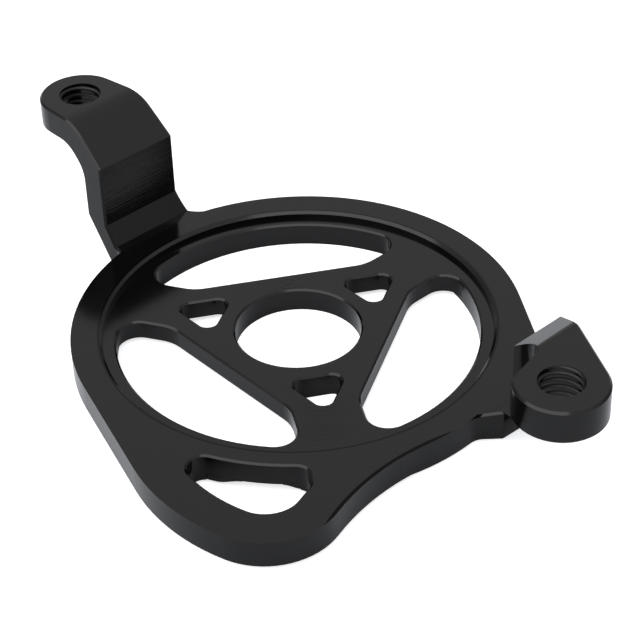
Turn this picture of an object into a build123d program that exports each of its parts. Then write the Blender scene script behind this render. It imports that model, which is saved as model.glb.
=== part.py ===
from build123d import *
from math import acos, asin, atan2, cos, degrees, radians, sin, sqrt
import os

# Engine case cover: one plate milled from solid aluminium, in millimetres.
# The origin is on the axis of the centre bore, in the plane of the seat under the plate.
# Two stepped straps, an arm and a lug, rise from the plate in opposite directions along
# the strap line, and each ends in an eye with a tapped hole.

# Plate, seen from above
rim_radius = 37.55           # round outside of the plate
rim_width = 5.15             # from the outside in to the shallow round recess
window_ledge = 2.2           # from the recess's wall in to the three big windows
bore_radius = 10.5
chord_distance = 15.0        # straight inner wall of each window, from the bore axis
window_angle = 101.3         # direction of the first window
spoke_half_width = 5.55      # spokes are left between the windows, with parallel sides
window_rim_corner = 3.5
window_chord_corner = 6.3
triangle_distance = 16.45    # centre of each small window, from the bore axis
triangle_radius = 6.0        # to its sharp corners
triangle_corner = 1.7

# Levels, up from the seat
web_top = 4.15
rim_top = 5.35
web_underside = 0.85
plate_underside = 0.45
hub_wall = 3.7               # round seat about the bore
register_inset = 4.15        # from the rim's outside in to the seat ring below
groove_width = 2.7           # relief groove round the seat ring
groove_top = 1.5

# Foot of the plate, an offset lobe that holds a slot
lobe_start_angle = 204.2     # where the straight flank leaves the round rim
lobe_flank = 22.0
lobe_shoulder_radius = 34.9
lobe_shoulder_turn = 34.7
lobe_tip_radius = 12.1
lobe_hollow_radius = 41.5    # hollow flank that runs back into the rim
slot_wall = 6.5              # wall between the slot and the outline
slot_rim_overlap = 1.55      # how far the slot's inner side lies inside the round rim's outside
slot_start_angle = -116.2
slot_end_angle = -87.8
slot_corner = 2.3

# Strap line: p runs along it, towards the lug, and q across it
strap_angle = -48.0

# Arm, on the negative side of the strap line
arm_hole_reach = 13.5        # hole's centre, out from the riser's inner face
arm_hole_q = -1.0
arm_eye_radius = 7.05
arm_right_q = 8.1            # right side of the riser; the left side is level with the eye
arm_top = 26.95              # level of the eye's top
arm_thickness = 5.0
arm_foot_gap = 0.85          # where the foot facet starts, out from the rim's outside
arm_foot_run = 2.2           # from there out to the riser's inner face
arm_foot_rise = 3.5
arm_bevel = 6.6              # 45 degree facet under the eye, each way
arm_brow_radius = 7.0        # rounds the facet into the eye's top
arm_bend_radius = 5.0        # rounds the bends of the outer side
arm_underside_gap = 1.85     # where the outer foot facet starts, out from the rim's outside
arm_outer_foot = 9.2         # level where that facet meets the outer face
arm_left_fillet = 1.7
arm_right_fillet = 6.0

# Lug, on the positive side
lug_hole_reach = 13.3        # hole's centre, out from the riser's inner face
lug_hole_q = 4.05
lug_eye_radius = 7.4
lug_top = 20.5
lug_thickness = 5.8
lug_foot_gap = 0.35          # where the foot starts, out from the rim's outside
lug_ledge_run = 1.9          # from there out to the riser's inner face
lug_ledge_rise = 0.35        # low ledge at the foot, above the rim
lug_shoulder_drop = 3.3      # from the eye's top down to the top of the inner face
lug_shoulder_run = 5.5       # sloping shoulder, along the strap line
lug_brow_radius = 4.0
lug_wall = 5.5
lug_underside_gap = 2.75     # where the outer foot facet starts, out from the rim's outside
lug_outer_foot = 6.6         # level where that facet meets the outer face
lug_left_q = 6.25            # straight left side of the foot
lug_right_q = 19.6           # right end of the riser's inner face
lug_side_angle = 8.0         # where the lug's right side leaves the round rim
lug_side_length = 12.5       # straight run of that side along the rim's tangent
tab_length = 6.0             # front edge of the foot, parallel to X
tab_fillet = 3.0
relief_radius = 4.3          # cutter pass between the riser and the eye
relief_start = (2.2, 0.8)    # along the strap line from the riser's face, and across from the hole
relief_end = (4.4, -9.3)

# Holes and edges
hole_radius = 3.65           # tapped M8: a plain wall between the thread's crests and roots
edge_chamfer = 0.36          # upper edges of the straps
window_chamfer = 0.3
recess_chamfer = 0.45
underside_chamfer = 0.3


def polar(radius, angle):
    """Point at a radius and an angle in degrees about the bore axis."""
    return Vector(radius * cos(radians(angle)), radius * sin(radians(angle)))


def touch(centre, radius, point, side):
    """Point where a line from an outside point touches a circle, on its left (+1) or right (-1) side."""
    to_point = point - centre
    lift = degrees(acos(radius / to_point.length))
    return centre + polar(radius, degrees(atan2(to_point.Y, to_point.X)) + side * lift)


recess_radius = rim_radius - rim_width
window_radius = recess_radius - window_ledge
register_radius = rim_radius - register_inset
along = polar(1, strap_angle)
across = polar(1, strap_angle + 90)
arm_foot_p = -(rim_radius + arm_foot_gap)
arm_face_p = arm_foot_p - arm_foot_run
arm_hole_p = arm_face_p - arm_hole_reach
lug_foot_p = rim_radius + lug_foot_gap
lug_face_p = lug_foot_p + lug_ledge_run
lug_brow_p = lug_face_p + lug_shoulder_run
lug_hole_p = lug_face_p + lug_hole_reach
lug_shoulder = lug_top - lug_shoulder_drop
lug_underside_p = rim_radius + lug_underside_gap


def on_strap(p, q):
    """Plan point from its distances along and across the strap line."""
    return along * p + across * q


# Arcs of the lobe: a straight flank, a shoulder, a tip and a hollow flank, each tangent to the next
flank_heading = lobe_start_angle + 90
flank_start = polar(rim_radius, lobe_start_angle)
flank_end = flank_start + polar(lobe_flank, flank_heading)
shoulder_centre = flank_end + polar(lobe_shoulder_radius, flank_heading + 90)
shoulder_end_angle = lobe_start_angle + lobe_shoulder_turn
shoulder_end = shoulder_centre + polar(lobe_shoulder_radius, shoulder_end_angle)
tip_centre = shoulder_end - polar(lobe_tip_radius, shoulder_end_angle)

# The hollow flank's centre lies outside the plate, at known distances from the bore axis and the tip
to_axis = rim_radius + lobe_hollow_radius
to_tip = lobe_tip_radius + lobe_hollow_radius
tip_distance = tip_centre.length
hollow_offset = degrees(acos((to_axis**2 + tip_distance**2 - to_tip**2) / (2 * to_axis * tip_distance)))
hollow_angle = degrees(atan2(tip_centre.Y, tip_centre.X)) + hollow_offset
hollow_centre = polar(to_axis, hollow_angle)
tip_to_hollow = (hollow_centre - tip_centre).normalized()
tip_end = tip_centre + tip_to_hollow * lobe_tip_radius
tip_end_angle = degrees(atan2(tip_to_hollow.Y, tip_to_hollow.X)) % 360
tip_middle = tip_centre + polar(lobe_tip_radius, (shoulder_end_angle + tip_end_angle) / 2)
hollow_end = polar(rim_radius, hollow_angle)
hollow_middle = hollow_centre - (hollow_centre - (tip_end + hollow_end) / 2).normalized() * lobe_hollow_radius
shoulder_middle = shoulder_centre + polar(lobe_shoulder_radius, lobe_start_angle + lobe_shoulder_turn / 2)

with BuildSketch() as body_outline:
    Circle(rim_radius)
    with BuildLine():
        Line((0, 0), flank_start)
        Line(flank_start, flank_end)
        ThreePointArc(flank_end, shoulder_middle, shoulder_end)
        ThreePointArc(shoulder_end, tip_middle, tip_end)
        ThreePointArc(tip_end, hollow_middle, hollow_end)
        Line(hollow_end, (0, 0))
    make_face()

# The slot follows the lobe's outline at an even wall, and the rim on its inner side
slot_reach = 2 * rim_radius
with BuildSketch() as slot_outline:
    offset(body_outline.sketch, amount=-slot_wall)
    Circle(rim_radius - slot_rim_overlap, mode=Mode.SUBTRACT)
    with BuildLine():
        Polyline((0, 0), polar(slot_reach, slot_start_angle), polar(slot_reach, slot_end_angle), close=True)
    make_face(mode=Mode.INTERSECT)
    fillet(slot_outline.vertices(), slot_corner)

arm_hole = on_strap(arm_hole_p, arm_hole_q)
arm_left_q = arm_hole_q - arm_eye_radius
arm_shoulder = on_strap(arm_face_p, arm_right_q)
arm_touch = touch(arm_hole, arm_eye_radius, arm_shoulder, 1)


def rim_corner(sketch, end, side):
    """Corner of an outline with the round rim, the lowest along end * along + side * across."""
    on_rim = sketch.vertices().filter_by(lambda v: abs(Vector(v.X, v.Y).length - rim_radius) < 0.001)
    return on_rim.sort_by(lambda v: Vector(v.X, v.Y).dot(along * end - across * side))[0]


def outline_edges(strap, outline, looks):
    """Edges where a strap's plan outline meets the faces that pass a test, on and outside the round rim."""
    boundary = outline.sketch.faces()[0].outer_wire()
    found = []
    for edge in strap.faces().filter_by(looks).edges():
        middle = Vector((edge @ 0.5).X, (edge @ 0.5).Y)
        if middle.length > rim_radius - 0.01 and boundary.distance_to(Vertex(*middle)) < 0.001:
            found.append(edge)
    return found


def faces_up(face):
    """True for a face that slopes upward or lies level on top."""
    return face.normal_at().Z > 0.05


def faces_down(face):
    return face.normal_at().Z < -0.05


def faces_along(sign):
    """Test for a flat face that looks along the strap line, outward (+1) or back (-1)."""
    return lambda face: face.geom_type == GeomType.PLANE and face.normal_at().dot(along * sign) > 0.98


with BuildSketch() as arm_outline:
    Circle(rim_radius)
    with BuildLine():
        Polyline(
            on_strap(0, arm_left_q),
            on_strap(arm_hole_p, arm_left_q),
            arm_touch,
            arm_shoulder + (arm_shoulder - arm_touch),
            close=True,
        )
    make_face()
    with Locations(arm_hole):
        Circle(arm_eye_radius)
    fillet(rim_corner(arm_outline, 1, -1), arm_left_fillet)
    fillet(rim_corner(arm_outline, 1, 1), arm_right_fillet)

strap_section = Plane(origin=(0, 0, 0), x_dir=(along.X, along.Y, 0), z_dir=(-across.X, -across.Y, 0))
inboard = 0.8 * rim_radius

with BuildPart() as arm:
    with BuildSketch():
        add(arm_outline.sketch)
    extrude(amount=arm_top)
    arm_reach = arm_hole_p - 2 * arm_eye_radius
    outer_face_p = arm_face_p - arm_thickness
    corner_shift = arm_thickness * sin(radians(22.5)) / cos(radians(22.5))
    arm_brow = (arm_face_p - arm_bevel, arm_top)
    arm_upper_bend = (arm_face_p - arm_bevel - corner_shift, arm_top - arm_thickness)
    arm_lower_bend = (outer_face_p, arm_top - arm_bevel - corner_shift)
    with BuildSketch(strap_section) as arm_section:
        with BuildLine():
            Polyline(
                (-inboard, plate_underside),
                (-inboard, rim_top),
                (arm_foot_p, rim_top),
                (arm_face_p, rim_top + arm_foot_rise),
                (arm_face_p, arm_top - arm_bevel),
                arm_brow,
                (arm_reach, arm_top),
                (arm_reach, arm_top - arm_thickness),
                arm_upper_bend,
                arm_lower_bend,
                (outer_face_p, arm_outer_foot),
                (-(rim_radius + arm_underside_gap), plate_underside),
                close=True,
            )
        make_face()
        for corner, radius in (
            (arm_brow, arm_brow_radius),
            (arm_upper_bend, arm_bend_radius),
            (arm_lower_bend, arm_bend_radius),
        ):
            fillet(arm_section.vertices().sort_by_distance(corner)[0], radius)
    extrude(amount=2 * arm_eye_radius, both=True, mode=Mode.INTERSECT)
    riser_test, outer_test = faces_along(1), faces_along(-1)
    inner_edges = outline_edges(arm.part, arm_outline, lambda face: faces_up(face) or riser_test(face))
    chamfer(inner_edges, edge_chamfer)
    outer_edges = outline_edges(arm.part, arm_outline, lambda face: faces_down(face) or outer_test(face))
    chamfer(outer_edges, underside_chamfer)

lug_hole = on_strap(lug_hole_p, lug_hole_q)
lug_shoulder_end = on_strap(lug_face_p, lug_right_q)
side_start = polar(rim_radius, lug_side_angle)
side_end = side_start + polar(lug_side_length, lug_side_angle - 90)

foot_corner = on_strap(lug_underside_p, lug_left_q)

with BuildSketch() as lug_outline:
    Circle(rim_radius)
    with BuildLine():
        Polyline(
            (0, 0),
            foot_corner - Vector(tab_length, 0),
            foot_corner,
            on_strap(lug_hole_p, lug_left_q),
            touch(lug_hole, lug_eye_radius, lug_shoulder_end, -1),
            lug_shoulder_end,
            side_end,
            side_start,
            close=True,
        )
    make_face()
    with Locations(lug_hole):
        Circle(lug_eye_radius)
    fillet(rim_corner(lug_outline, 0, -1), tab_fillet)

with BuildSketch(Plane.XY.offset(rim_top + lug_ledge_rise)) as relief:
    with BuildLine():
        Line(*[on_strap(lug_face_p + p, lug_hole_q + q) for p, q in (relief_start, relief_end)])
        offset(amount=relief_radius)
    make_face()

with BuildPart() as lug:
    with BuildSketch():
        add(lug_outline.sketch)
    extrude(amount=lug_top)
    lug_reach = lug_hole_p + 2 * lug_eye_radius
    with BuildSketch(strap_section) as lug_section:
        with BuildLine():
            Polyline(
                (inboard, plate_underside),
                (inboard, rim_top),
                (lug_foot_p, rim_top),
                (lug_face_p, rim_top + lug_ledge_rise),
                (lug_face_p, lug_shoulder),
                (lug_brow_p, lug_top),
                (lug_reach, lug_top),
                (lug_reach, lug_top - lug_thickness),
                (lug_face_p + lug_wall, lug_top - lug_thickness),
                (lug_face_p + lug_wall, lug_outer_foot),
                (lug_underside_p, plate_underside),
                close=True,
            )
        make_face()
        fillet(lug_section.vertices().sort_by_distance((lug_brow_p, lug_top))[0], lug_brow_radius)
    extrude(amount=rim_radius, both=True, mode=Mode.INTERSECT)
    add(relief.sketch)
    extrude(amount=lug_top, mode=Mode.SUBTRACT)
    upper_edges = outline_edges(lug.part, lug_outline, faces_up)
    off_ledge = [e for e in upper_edges if e.center().Z > lug_shoulder or (e @ 0.5).dot(along) < lug_face_p]
    chamfer(off_ledge, edge_chamfer)
    lower_edges = outline_edges(lug.part, lug_outline, faces_down)
    chamfer([e for e in lower_edges if e.center().Z > lug_outer_foot], underside_chamfer)

# A spoke's sides are parallel, so each window's ends slope 60 degrees from its middle line
window_apex = spoke_half_width / sin(radians(60))
with BuildSketch() as window_outline:
    Circle(window_radius)
    with BuildLine():
        Polyline(
            (window_apex, 0),
            polar(2 * window_radius, -60) + (window_apex, 0),
            polar(2 * window_radius, 60) + (window_apex, 0),
            close=True,
        )
    make_face(mode=Mode.INTERSECT)
    with Locations((chord_distance, 0)):
        Rectangle(window_radius, 2 * window_radius, align=(Align.MIN, Align.CENTER), mode=Mode.INTERSECT)
    fillet(window_outline.vertices().group_by(Axis.X)[0], window_chord_corner)
    fillet(window_outline.vertices().group_by(Axis.X)[-1], window_rim_corner)

with BuildSketch() as triangle_outline:
    with Locations((triangle_distance, 0)):
        RegularPolygon(triangle_radius, 3)
    fillet(triangle_outline.vertices(), triangle_corner)

with BuildPart() as case_cover:
    with BuildSketch(Plane.XY.offset(plate_underside)):
        add(body_outline.sketch)
    extrude(amount=rim_top - plate_underside)
    chamfer(case_cover.edges().group_by(Axis.Z)[0], underside_chamfer)
    with BuildSketch():
        Circle(register_radius)
    extrude(amount=web_top)
    add(arm.part)
    add(lug.part)

    # Round recess in the top, and the pocket and groove round the seat ring below
    with BuildSketch(Plane.XY.offset(web_top)):
        Circle(recess_radius)
    extrude(amount=rim_top - web_top, mode=Mode.SUBTRACT)
    with BuildSketch():
        Circle(window_radius)
        Circle(bore_radius + hub_wall, mode=Mode.SUBTRACT)
    extrude(amount=web_underside, mode=Mode.SUBTRACT)
    with BuildSketch():
        Circle(register_radius + groove_width)
        Circle(register_radius, mode=Mode.SUBTRACT)
    extrude(amount=groove_top, mode=Mode.SUBTRACT)

    # Through openings
    with BuildSketch():
        Circle(bore_radius)
        with PolarLocations(0, 3, start_angle=window_angle):
            add(window_outline.sketch)
        with PolarLocations(0, 3, start_angle=window_angle + 60):
            add(triangle_outline.sketch)
        add(slot_outline.sketch)
    extrude(amount=rim_top, mode=Mode.SUBTRACT)

    # Their upper edges, all broken by small chamfers
    level_faces = case_cover.faces().filter_by(Axis.Z)
    web_face = level_faces.filter_by_position(Axis.Z, web_top - 0.01, web_top + 0.01).sort_by(SortBy.AREA)[-1]
    rim_face = level_faces.filter_by_position(Axis.Z, rim_top - 0.01, rim_top + 0.01).sort_by(SortBy.AREA)[-1]
    slot_wire, recess_wire = rim_face.inner_wires().sort_by(SortBy.LENGTH)
    chamfer(web_face.inner_wires().edges() + slot_wire.edges(), window_chamfer)
    chamfer(recess_wire.edges(), recess_chamfer)

    for hole, top, thickness in ((arm_hole, arm_top, arm_thickness), (lug_hole, lug_top, lug_thickness)):
        with Locations(Location(hole + Vector(0, 0, top))):
            Hole(hole_radius, depth=thickness)

case_cover.part.label = "case_cover"
os.makedirs("parts", exist_ok=True)
export_step(case_cover.part, "parts/case_cover.step")
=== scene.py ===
from math import cos, pi, radians, sin, tan

import bpy
import numpy as np
from mathutils import Matrix, Vector


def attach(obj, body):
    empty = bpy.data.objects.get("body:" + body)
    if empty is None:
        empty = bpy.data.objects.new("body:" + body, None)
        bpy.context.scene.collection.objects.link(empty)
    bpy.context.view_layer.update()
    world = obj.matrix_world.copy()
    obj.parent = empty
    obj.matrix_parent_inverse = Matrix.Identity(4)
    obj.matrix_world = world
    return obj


# Engine case cover in black anodised aluminium. Lengths named MM are millimetres; the scene is in metres.
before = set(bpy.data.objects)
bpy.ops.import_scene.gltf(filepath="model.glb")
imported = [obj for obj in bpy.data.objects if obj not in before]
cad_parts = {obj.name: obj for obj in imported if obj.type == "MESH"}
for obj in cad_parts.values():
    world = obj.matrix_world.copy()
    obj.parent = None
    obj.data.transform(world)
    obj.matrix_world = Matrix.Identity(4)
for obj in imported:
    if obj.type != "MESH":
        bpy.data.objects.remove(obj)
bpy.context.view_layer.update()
MM = 0.001

# Camera, as the photograph was taken: the picture is square, and pixels count from its top left corner
PICTURE = 640
SENSOR_MM = 36.0
LENS_MM = 109.77
CAMERA_ELEVATION = 36.98          # degrees above the horizon
CAMERA_ROLL = 1.96                # degrees
BORE_PIXEL = (298.17, 327.09)     # where the bore axis meets the web's top
BORE_DEPTH_MM = 323.4             # from the camera to that point, along the line of sight
CLIP_M = (0.01, 20)

# Levels and radii that the scene shares with the solid
WEB_TOP_MM = 4.15
RIM_TOP_MM = 5.35
PLATE_UNDERSIDE_MM = 0.45
RIM_RADIUS_MM = 37.55
STRAP_ANGLE = -48.0               # degrees, the line of both straps seen from above
ALONG = Vector((cos(radians(STRAP_ANGLE)), sin(radians(STRAP_ANGLE)), 0))
ACROSS = Vector((-ALONG.y, ALONG.x, 0))
UP = Vector((0, 0, 1))


def place_camera():
    """Camera that sees the bore's top centre at its pixel, looking along +Y and down."""
    tilt, roll = radians(CAMERA_ELEVATION), radians(CAMERA_ROLL)
    forward = Vector((0, cos(tilt), -sin(tilt)))
    level_down = Vector((0, -sin(tilt), -cos(tilt)))
    right = cos(roll) * Vector((1, 0, 0)) + sin(roll) * level_down
    down = cos(roll) * level_down - sin(roll) * Vector((1, 0, 0))
    mm_per_pixel = BORE_DEPTH_MM * SENSOR_MM / LENS_MM / PICTURE
    aside = (BORE_PIXEL[0] - PICTURE / 2) * mm_per_pixel
    below = (BORE_PIXEL[1] - PICTURE / 2) * mm_per_pixel
    target = WEB_TOP_MM * UP
    position = (target - forward * BORE_DEPTH_MM - right * aside - down * below) * MM
    data = bpy.data.cameras.new("camera")
    data.lens, data.sensor_width = LENS_MM, SENSOR_MM
    data.clip_start, data.clip_end = CLIP_M
    camera = bpy.data.objects.new("camera", data)
    axes = Matrix((right, -down, -forward)).transposed()
    camera.matrix_world = Matrix.Translation(position) @ axes.to_4x4()
    bpy.context.scene.collection.objects.link(camera)
    bpy.context.scene.camera = camera


def linear(hex_colour):
    """Linear RGBA of an sRGB hex colour."""
    srgb = np.array([int(hex_colour[i:i + 2], 16) for i in (1, 3, 5)]) / 255
    return (*np.where(srgb <= 0.04045, srgb / 12.92, ((srgb + 0.055) / 1.055) ** 2.4), 1.0)


def add_node(tree, kind, *inputs, **named):
    """Add a node: inputs fill its sockets in order, capitalised names do so by name, and others set it up."""
    node = tree.nodes.new(kind)
    settings = {name: value for name, value in named.items() if name[0].islower()}
    for name, value in settings.items():
        setattr(node, name, value)
    sockets = list(zip(node.inputs, inputs))
    sockets += [(node.inputs[name.replace("_", " ")], value)
                for name, value in named.items() if name not in settings]
    for socket, value in sockets:
        if isinstance(value, bpy.types.NodeSocket):
            tree.links.new(value, socket)
        else:
            socket.default_value = value
    return node


def new_material(name):
    """An empty material, its node tree and its output node."""
    material = bpy.data.materials.new(name)
    material.use_nodes = True
    material.node_tree.nodes.clear()
    return material, material.node_tree, material.node_tree.nodes.new("ShaderNodeOutputMaterial")


# Floor and light
WHITE = "#ffffff"
FLOOR_RADIUS_M = 3.0
FLOOR_SIDES = 64
FLOOR_COLOUR = "#e6e8ed"
FLOOR_GLOW = 0.7             # keeps the paper white for the camera, over its own lit shade
SKY_HEIGHTS = (0.3, 0.62)    # sines of the heights between which the sky changes
SKY_MIRRORED = (0.42, 0.92)  # strength that the metal mirrors, low down and high up
SKY_LIGHT = (1.0, 0.3)       # strength that lights matt surfaces: more from the sides than from above
SKY_SEEN = 1.0               # plain white behind the cover
SOFT_BOX_PLACE_M = (-0.55, -0.5, 1.3)
SOFT_BOX_SIZE_M = 2.2
SOFT_BOX_POWER = 26          # watts


def white_paper():
    """Matt white paper. It glows for the camera alone, so the cover's shadow stays but is soft."""
    material, tree, output = new_material("white_paper_floor")
    paper = add_node(tree, "ShaderNodeBsdfDiffuse", linear(FLOOR_COLOUR))
    rays = add_node(tree, "ShaderNodeLightPath").outputs
    strength = add_node(tree, "ShaderNodeMath", rays["Is Camera Ray"], FLOOR_GLOW, operation="MULTIPLY")
    glow = add_node(tree, "ShaderNodeEmission", linear(WHITE), strength.outputs[0])
    both = add_node(tree, "ShaderNodeAddShader", paper.outputs[0], glow.outputs[0])
    tree.links.new(both.outputs[0], output.inputs["Surface"])
    return material


def lay_floor():
    """Flat disc at level 0, where the cover stands: points at one radius, at even angles."""
    angle = np.linspace(0, 2 * pi, FLOOR_SIDES, endpoint=False)
    rim = np.c_[FLOOR_RADIUS_M * np.cos(angle), FLOOR_RADIUS_M * np.sin(angle), np.zeros(FLOOR_SIDES)]
    mesh = bpy.data.meshes.new("floor")
    mesh.from_pydata(rim.tolist(), [], [list(range(FLOOR_SIDES))])
    mesh.materials.append(white_paper())
    floor = bpy.data.objects.new("floor", mesh)
    bpy.context.scene.collection.objects.link(floor)


def light_sky():
    """Pale sky: white for the camera, and for the cover a strength that changes with the height."""
    world = bpy.data.worlds.new("studio")
    world.use_nodes = True
    tree = world.node_tree
    tree.nodes.clear()
    outward = add_node(tree, "ShaderNodeTexCoord").outputs["Generated"]
    height = add_node(tree, "ShaderNodeSeparateXYZ", outward).outputs["Z"]
    rays = add_node(tree, "ShaderNodeLightPath").outputs
    strengths = [add_node(tree, "ShaderNodeMapRange", height, *SKY_HEIGHTS, *low_and_high).outputs[0]
                 for low_and_high in (SKY_LIGHT, SKY_MIRRORED)]
    lighting, mirrored, seen = [add_node(tree, "ShaderNodeBackground", linear(WHITE), strength).outputs[0]
                                for strength in (*strengths, SKY_SEEN)]
    around = add_node(tree, "ShaderNodeMixShader", rays["Is Glossy Ray"], lighting, mirrored)
    sky = add_node(tree, "ShaderNodeMixShader", rays["Is Camera Ray"], around.outputs[0], seen)
    output = tree.nodes.new("ShaderNodeOutputWorld")
    tree.links.new(sky.outputs[0], output.inputs["Surface"])
    bpy.context.scene.world = world


def hang_soft_box():
    """One large square lamp overhead, turned towards the cover."""
    data = bpy.data.lights.new("soft_box", "AREA")
    data.size, data.energy = SOFT_BOX_SIZE_M, SOFT_BOX_POWER
    lamp = bpy.data.objects.new("soft_box", data)
    lamp.location = SOFT_BOX_PLACE_M
    lamp.rotation_euler = (-Vector(SOFT_BOX_PLACE_M)).to_track_quat("-Z", "Y").to_euler()
    bpy.context.scene.collection.objects.link(lamp)


# Black anodised aluminium: a dyed oxide film over milled metal. Nearly no colour of its own shows, and
# a clear shine lies over it, weak face on and strong at a glance, so pale faces are what it mirrors.
ANODISE_COLOUR = "#2f2f2f"
METAL_SHARE = 0.94           # the rest is the dye's own dark matt shade
SMOOTH_ROUGHNESS = 0.13      # plate, walls and slopes
UPRIGHT_ROUGHNESS = 0.2      # the straps' uprights, where the cutter left coarse lines
THREAD_ROUGHNESS = 0.38      # flanks of the tapped threads
FACING_UPRIGHT = (0.93, 0.98)                # an upright's cosine to the straps' line: where marks start
FACING_SLOPE = ((0.55, 0.68), (0.93, 0.88))  # a slope's cosine to the vertical, from both sides
FACING_UP = (0.97, 0.995)                    # a level face's

# Pattern sizes. The film's own grain is finer, and is drawn this coarse to show.
GRAIN_MM = 0.22
GRAIN_DEPTH_MM = 0.004
LINE_MM = (9, 9, 0.3)        # cutter lines on the uprights: along, across and up
LINE_DEPTH_MM = 0.04
SCALLOP_MM = (14, 0.5, 14)   # cutter scallops down the slopes
SCALLOP_DEPTH_MM = 0.012
RING_CENTRES_MM = ((3.0, -24.0), (-1.5, 12.5))     # where an end mill stopped on the web
RING_STEP_MM = 1.1
RING_REACH_MM = 8.0
RING_FULL_SHARE = 0.4        # of the reach, within which the rings don't fade
RING_DEPTH_MM = 0.04
RISER_END_MM = 46.0          # both risers end this far along the straps' line
RISER_RIGHT_MM = 12.0        # and this far to its right
RISER_FADE_MM = 0.5

# Painted shade: narrow dark bands on top of the plate along two edges, standing in for the shade at these
# edges, the recess's edge and the broken edge of the lobe's hollow flank, whose centre lies beyond the rim
RECESS_EDGE_MM = 32.85
HOLLOW_RADIUS_MM = 41.5
HOLLOW_ANGLE = -58.52        # degrees, from the bore axis to the hollow flank's centre
RECESS_BAND_MM, HOLLOW_BAND_MM = 0.3, 0.55
# share of the colour that each band of painted shade keeps
RECESS_PAINTED_SHADE, HOLLOW_PAINTED_SHADE = 0.5, 0.1
FACING_BAND = (0.9, 0.97)
BAND_LEVELS_MM = (RIM_TOP_MM + 0.1, RIM_TOP_MM + 0.05)


def patch(tree, *edges):
    """Output that is 1 on a patch of the surface and fades out past its edges.

    Each edge is a measure, the value at which it is 0, and the value from which it is 1: a smooth step.
    The steps of all edges multiply.
    """
    share = 1.0
    for measure, outside, inside in edges:
        rising = float(inside > outside)
        step = add_node(tree, "ShaderNodeMapRange", measure, min(outside, inside), max(outside, inside),
                        1 - rising, rising, interpolation_type="SMOOTHSTEP")
        share = add_node(tree, "ShaderNodeMath", step.outputs[0], share, operation="MULTIPLY").outputs[0]
    return share


def cutter_marks(tree, places, lengths_mm):
    """Noise whose marks have given lengths along the straps' line, across it and upward."""
    scaled = [add_node(tree, "ShaderNodeMath", place, length * MM, operation="DIVIDE").outputs[0]
              for place, length in zip(places, lengths_mm)]
    where = add_node(tree, "ShaderNodeCombineXYZ", *scaled).outputs[0]
    return add_node(tree, "ShaderNodeTexNoise", Vector=where, Scale=1.0, Detail=3.0).outputs[0]


def end_mill_rings(tree, place):
    """Sine of the distance from each centre on the web, fading outwards; the centres' waves add up."""
    total = 0.0
    for x, y in RING_CENTRES_MM:
        centre = (x * MM, y * MM, WEB_TOP_MM * MM)
        apart = add_node(tree, "ShaderNodeVectorMath", place, centre, operation="DISTANCE")
        distance = apart.outputs["Value"]
        phase = add_node(tree, "ShaderNodeMath", distance, 2 * pi / (RING_STEP_MM * MM), operation="MULTIPLY")
        wave = add_node(tree, "ShaderNodeMath", phase.outputs[0], operation="SINE").outputs[0]
        near = patch(tree, (distance, RING_REACH_MM * MM, RING_FULL_SHARE * RING_REACH_MM * MM))
        total = add_node(tree, "ShaderNodeMath", wave, near, total, operation="MULTIPLY_ADD").outputs[0]
    return total


def painted_shade_band(tree, place, facing_up, centre_mm, radius_mm, width_mm):
    """Output that is 1 on top of the plate, in a narrow ring just outside an upright cylinder: where a band
    of painted shade lies.
    """
    flat = add_node(tree, "ShaderNodeVectorMath", place, (1, 1, 0), operation="MULTIPLY").outputs[0]
    centre = (centre_mm[0] * MM, centre_mm[1] * MM, 0)
    distance = add_node(tree, "ShaderNodeVectorMath", flat, centre, operation="DISTANCE").outputs["Value"]
    height = add_node(tree, "ShaderNodeSeparateXYZ", place).outputs["Z"]
    inner, outer, soft = radius_mm * MM, (radius_mm + width_mm) * MM, width_mm * MM / 4
    return patch(tree, (distance, inner - soft, inner), (distance, outer + soft, outer),
                 (height, *(level * MM for level in BAND_LEVELS_MM)), (facing_up, *FACING_BAND))


def polar(radius, angle):
    """Plan point at a radius and an angle in degrees."""
    return radius * cos(radians(angle)), radius * sin(radians(angle))


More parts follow.
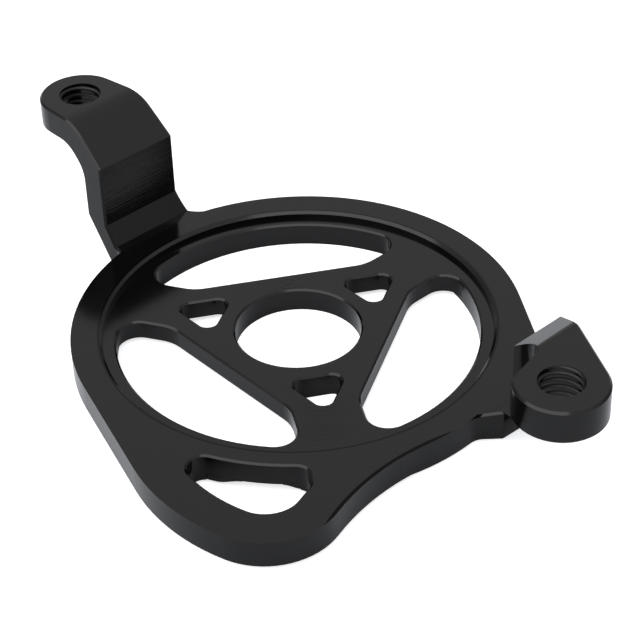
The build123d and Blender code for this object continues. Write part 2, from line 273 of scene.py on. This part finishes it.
def anodised_aluminium(name, plain_roughness):
    """Milled and anodised metal: fine grain all over, each kind of face with its own cutter marks, and
    painted shade along two edges on the plate's top.
    """
    material, tree, output = new_material(name)
    place = add_node(tree, "ShaderNodeTexCoord").outputs["Object"]
    normal = add_node(tree, "ShaderNodeNewGeometry").outputs["Normal"]
    places, facings = [[add_node(tree, "ShaderNodeVectorMath", vector, axis,
                                 operation="DOT_PRODUCT").outputs["Value"] for axis in (ALONG, ACROSS, UP)]
                       for vector in (place, normal)]
    reach, facing_along = [add_node(tree, "ShaderNodeMath", value, operation="ABSOLUTE").outputs[0]
                           for value in (places[0], facings[0])]
    facing_up = facings[2]
    upright = patch(tree, (facing_along, *FACING_UPRIGHT),
                    (reach, (RISER_END_MM + RISER_FADE_MM) * MM, RISER_END_MM * MM),
                    (places[1], -(RISER_RIGHT_MM + RISER_FADE_MM) * MM, -RISER_RIGHT_MM * MM))
    slope = patch(tree, *((facing_up, *limits) for limits in FACING_SLOPE))
    level = patch(tree, (facing_up, *FACING_UP))

    grain = add_node(tree, "ShaderNodeTexNoise", Vector=place, Scale=1 / (GRAIN_MM * MM), Detail=2.0)
    marks = [add_node(tree, "ShaderNodeMath", mark, where, operation="MULTIPLY").outputs[0]
             for mark, where in ((end_mill_rings(tree, place), level),
                                 (cutter_marks(tree, places, LINE_MM), upright),
                                 (cutter_marks(tree, places, SCALLOP_MM), slope))]
    depths_mm = (GRAIN_DEPTH_MM, RING_DEPTH_MM, LINE_DEPTH_MM, SCALLOP_DEPTH_MM)
    beneath = {}
    for height, depth_mm in zip((grain.outputs[0], *marks), depths_mm):
        bump = add_node(tree, "ShaderNodeBump", Height=height, Strength=1.0, Distance=depth_mm * MM,
                        **beneath)
        beneath = {"Normal": bump.outputs[0]}
    roughness = add_node(tree, "ShaderNodeMath", upright, UPRIGHT_ROUGHNESS - plain_roughness,
                         plain_roughness, operation="MULTIPLY_ADD")

    # Painted shade: each band darkens the colour, and with it the shine, along an edge
    shade = 1.0
    hollow_centre = polar(RIM_RADIUS_MM + HOLLOW_RADIUS_MM, HOLLOW_ANGLE)
    bands = (((0, 0), RECESS_EDGE_MM, RECESS_BAND_MM, RECESS_PAINTED_SHADE),
             (hollow_centre, HOLLOW_RADIUS_MM, HOLLOW_BAND_MM, HOLLOW_PAINTED_SHADE))
    for centre_mm, radius_mm, width_mm, dark in bands:
        band = painted_shade_band(tree, place, facing_up, centre_mm, radius_mm, width_mm)
        kept = add_node(tree, "ShaderNodeMath", band, dark - 1, 1.0, operation="MULTIPLY_ADD").outputs[0]
        shade = add_node(tree, "ShaderNodeMath", shade, kept, operation="MULTIPLY").outputs[0]
    colour = add_node(tree, "ShaderNodeVectorMath", linear(ANODISE_COLOUR)[:3], Scale=shade,
                      operation="SCALE")
    metal = add_node(tree, "ShaderNodeBsdfPrincipled", Base_Color=colour.outputs[0], Metallic=METAL_SHARE,
                     Roughness=roughness.outputs[0], Normal=bump.outputs[0])
    tree.links.new(metal.outputs[0], output.inputs["Surface"])
    return material


def add_piece(name, rings_mm, material):
    """Closed tube through rings of points: each ring is joined to the next, and both ends are flat."""
    rings, sides, _ = rings_mm.shape
    corner = np.arange(rings * sides).reshape(rings, sides)
    ahead = np.roll(corner, -1, axis=1)
    skin = np.stack([corner[:-1], ahead[:-1], ahead[1:], corner[1:]], axis=-1).reshape(-1, 4)
    ends = [corner[0][::-1].tolist(), corner[-1].tolist()]
    mesh = bpy.data.meshes.new(name)
    mesh.from_pydata((rings_mm.reshape(-1, 3) * MM).tolist(), [], skin.tolist() + ends)
    mesh.materials.append(material)
    piece = bpy.data.objects.new(name, mesh)
    bpy.context.scene.collection.objects.link(piece)
    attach(piece, "root")


# Thread ridges in the two tapped holes, M8 coarse
PITCH_MM = 1.25
THREAD_HALF_ANGLE = 30       # degrees, between a flank and the plane across the hole
CREST_RADIUS_MM = 3.32
HOLE_RADIUS_MM = 3.65
MOUTH_RADIUS_MM = 3.78       # a 45 degree mouth trims the ridges at both ends
RIDGE_SINK_MM = 0.1          # the ridge's back lies this deep in the wall
FACE_CLEARANCE_MM = 0.02     # the ridges stop this far short of the hole's ends
SIDES_PER_TURN = 72
ARM_HOLE_MM = -54.1 * ALONG - 1.0 * ACROSS
LUG_HOLE_MM = 53.1 * ALONG + 4.05 * ACROSS
ARM_TOP_MM, ARM_THICKNESS_MM, ARM_CREST_MM = 26.95, 5.0, 25.95     # the crest's level behind the axis
LUG_TOP_MM, LUG_THICKNESS_MM, LUG_CREST_MM = 20.5, 5.8, 19.16


def thread_ridge(name, axis_mm, top_mm, thickness_mm, crest_mm, material):
    """Helical V ridge: angle t and a profile point of depth d and offset w give the surface.

    The radius is the hole's less d, and the level is the crest's level behind the axis, plus the pitch
    times t in turns, plus w. Near a mouth the radius is at least the mouth's less the distance to the face.
    """
    depth = HOLE_RADIUS_MM - CREST_RADIUS_MM
    crest_half = PITCH_MM / 8
    root_half = crest_half + depth * tan(radians(THREAD_HALF_ANGLE))
    profile = np.array([(-RIDGE_SINK_MM, -root_half), (0, -root_half), (depth, -crest_half),
                        (depth, crest_half), (0, root_half), (-RIDGE_SINK_MM, root_half)])
    margin = root_half + FACE_CLEARANCE_MM
    bottom_mm = top_mm - thickness_mm
    first, last = bottom_mm - margin, top_mm + margin
    turns = np.arange((first - crest_mm) / PITCH_MM, (last - crest_mm) / PITCH_MM, 1 / SIDES_PER_TURN)
    turns = turns[:, None]
    angle = pi / 2 + 2 * pi * turns
    level = crest_mm + PITCH_MM * turns + profile[:, 1]
    level = np.clip(level, bottom_mm + FACE_CLEARANCE_MM, top_mm - FACE_CLEARANCE_MM)
    to_face = np.minimum(top_mm - level, level - bottom_mm)
    radius = np.maximum(HOLE_RADIUS_MM - profile[:, 0], MOUTH_RADIUS_MM - to_face)
    x, y = axis_mm.x + radius * np.cos(angle), axis_mm.y + radius * np.sin(angle)
    add_piece(name, np.stack([x, y, level], axis=-1), material)


# Straight flank of the rim beside the lug, along the rim's tangent
FLANK_START = 8.0            # degrees, where it leaves the round rim
FLANK_LENGTH_MM = 10.92
FLANK_ROOT = -11.13          # degrees, where the lug's own foot meets the round rim
FLANK_STEPS = 25


def rim_flank(material):
    """Flat plate between the rim's arc and its tangent: one outline at two levels.

    The outline is the arc at the rim's radius, from the flank's start to its root, and the tangent's end.
    """
    angle = np.radians(np.linspace(FLANK_START, FLANK_ROOT, FLANK_STEPS))
    arc = RIM_RADIUS_MM * np.c_[np.cos(angle), np.sin(angle)]
    tangent_end = arc[0] + polar(FLANK_LENGTH_MM, FLANK_START - 90)
    outline = np.vstack([arc, tangent_end])
    levels = (PLATE_UNDERSIDE_MM, RIM_TOP_MM)
    add_piece("rim_flank", np.stack([np.c_[outline, np.full(len(outline), z)] for z in levels]), material)


# Skirt at each end of the slot's inner wall, where the relief groove below it runs out
SKIRT_RADII_MM = (35.4, 36.02)
SKIRT_LEVELS_MM = (0.5, 1.4)     # of the lower edge, at the slot's end and further in
SKIRT_TOP_MM = 1.6
SKIRT_FLAT_SHARE = 0.375         # of the skirt's length, before its lower edge begins to rise
SKIRT_STEPS = 33
LEFT_SKIRT = (-115.5, -104.5)    # degrees, at the slot's end and further in
RIGHT_SKIRT = (-86.5, -94.5)


def slot_skirt(name, slot_end, inner_end, material):
    """Arc of a ring at angle a, with a box section; its lower edge rises between two levels as a cosine."""
    angle = np.linspace(min(slot_end, inner_end), max(slot_end, inner_end), SKIRT_STEPS)[:, None]
    share = (angle - slot_end) / (inner_end - slot_end)
    risen = np.clip((share - SKIRT_FLAT_SHARE) / (1 - SKIRT_FLAT_SHARE), 0, 1)
    low, high = SKIRT_LEVELS_MM
    lower = low + (high - low) * (1 - np.cos(pi * risen)) / 2
    upper = np.full_like(lower, SKIRT_TOP_MM)
    inner, outer = SKIRT_RADII_MM
    radius = np.array((inner, outer, outer, inner))
    x, y = radius * np.cos(np.radians(angle)), radius * np.sin(np.radians(angle))
    add_piece(name, np.stack([x, y, np.hstack([upper, upper, lower, lower])], axis=-1), material)


place_camera()
lay_floor()
light_sky()
hang_soft_box()

finish = anodised_aluminium("black_anodised_aluminium", SMOOTH_ROUGHNESS)
thread_finish = anodised_aluminium("black_anodised_thread", THREAD_ROUGHNESS)
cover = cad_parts["case_cover"]
cover.data.materials[0] = finish
rim_flank(finish)
slot_skirt("slot_skirt_left", *LEFT_SKIRT, finish)
slot_skirt("slot_skirt_right", *RIGHT_SKIRT, finish)
thread_ridge("arm_thread_ridge", ARM_HOLE_MM, ARM_TOP_MM, ARM_THICKNESS_MM, ARM_CREST_MM, thread_finish)
thread_ridge("lug_thread_ridge", LUG_HOLE_MM, LUG_TOP_MM, LUG_THICKNESS_MM, LUG_CREST_MM, thread_finish)

bpy.context.scene.view_settings.view_transform = "Standard"
